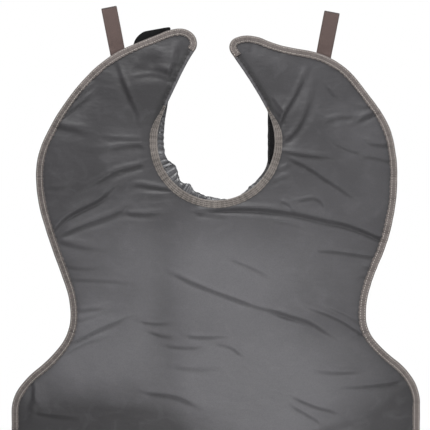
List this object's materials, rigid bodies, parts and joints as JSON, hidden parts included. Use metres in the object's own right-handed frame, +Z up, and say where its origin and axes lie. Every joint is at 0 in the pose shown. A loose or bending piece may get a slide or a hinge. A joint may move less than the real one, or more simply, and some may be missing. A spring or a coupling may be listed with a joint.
{
  "type": "lead apron",
  "caption": "Dental radiation apron with shoulder wings, a wide lap panel, bound edges, an attached thyroid collar folded behind the neck opening, and webbing hanging loops.",
  "frame": {"origin": "On the middle line of the neck opening, in the middle of the laminate, at the height where the two hanging loops sit on their pegs.", "axes": "+Z up as the apron hangs, -Y out of its front face, +X towards the right for somebody facing the front."},
  "size_m": [0.613, 0.0142, 0.8807],
  "materials": {
    "front_vinyl": "satin",
    "back_vinyl": "satin",
    "shielding": "matte",
    "binding_tape": "matte",
    "collar_fabric": "satin",
    "fastening_tape": "matte",
    "webbing": "matte"
  },
  "bodies": {
    "apron_body": {"front_cover_chest": "front_vinyl", "front_shield_chest": "shielding", "rear_shield_chest": "shielding", "back_cover_chest": "back_vinyl", "neck_binding_chest": "binding_tape", "edge_binding_chest_left": "binding_tape", "edge_binding_chest_right": "binding_tape", "collar_inner_cover_chest": "collar_fabric", "collar_shield_chest": "shielding", "collar_outer_cover_chest": "front_vinyl", "collar_inner_binding_chest": "binding_tape", "collar_outer_binding_chest": "binding_tape", "collar_seam": "binding_tape", "loop_patch_chest": "fastening_tape"},
    "left_wing": {"front_cover_left_wing": "front_vinyl", "front_shield_left_wing": "shielding", "rear_shield_left_wing": "shielding", "back_cover_left_wing": "back_vinyl", "neck_binding_left_wing": "binding_tape", "edge_binding_left_wing": "binding_tape", "turned_edge_left": "front_vinyl", "collar_inner_cover_left_wing": "collar_fabric", "collar_shield_left_wing": "shielding", "collar_outer_cover_left_wing": "front_vinyl", "collar_binding_left_wing": "binding_tape", "loop_anchor_left": "webbing"},
    "right_wing": {"front_cover_right_wing": "front_vinyl", "front_shield_right_wing": "shielding", "rear_shield_right_wing": "shielding", "back_cover_right_wing": "back_vinyl", "neck_binding_right_wing": "binding_tape", "edge_binding_right_wing": "binding_tape", "turned_edge_right": "front_vinyl", "collar_inner_cover_right_wing": "collar_fabric", "collar_shield_right_wing": "shielding", "collar_outer_cover_right_wing": "front_vinyl", "collar_binding_right_wing": "binding_tape", "loop_patch_right_wing": "fastening_tape", "loop_anchor_right": "webbing"},
    "lap_panel": {"front_cover_lap": "front_vinyl", "front_shield_lap": "shielding", "rear_shield_lap": "shielding", "back_cover_lap": "back_vinyl", "edge_binding_lap": "binding_tape"},
    "left_loop": {"hanging_loop_left": "webbing"},
    "right_loop": {"hanging_loop_right": "webbing"},
    "collar_tab": {"hook_tab": "fastening_tape"}
  },
  "joints": [
    {"name": "left_shoulder_fold", "type": "hinge", "parent": "apron_body", "child": "left_wing", "pos_m": [-0.17, 0.012, -0.19], "axis": [-1, 0, 0], "range_deg": [0, 100]},
    {"name": "right_shoulder_fold", "type": "hinge", "parent": "apron_body", "child": "right_wing", "pos_m": [0.17, 0.012, -0.19], "axis": [-1, 0, 0], "range_deg": [0, 100]},
    {"name": "lap_fold", "type": "hinge", "parent": "apron_body", "child": "lap_panel", "pos_m": [0, -0.003, -0.54], "axis": [-1, 0, 0], "range_deg": [0, 90]},
    {"name": "left_loop_fold", "type": "hinge", "parent": "left_wing", "child": "left_loop", "pos_m": [-0.1483, 0.0039, -0.06224], "axis": [0.8652, 0, 0.5015], "range_deg": [-90, 90]},
    {"name": "right_loop_fold", "type": "hinge", "parent": "right_wing", "child": "right_loop", "pos_m": [0.16217, 0.0039, -0.06743], "axis": [0.9291, 0, -0.3698], "range_deg": [-90, 90]},
    {"name": "hook_tab_fold", "type": "hinge", "parent": "left_wing", "child": "collar_tab", "pos_m": [-0.097, 0.0101, -0.0812], "axis": [-0.9914, 0, 0.1305], "range_deg": [0, 100]}
  ]
}
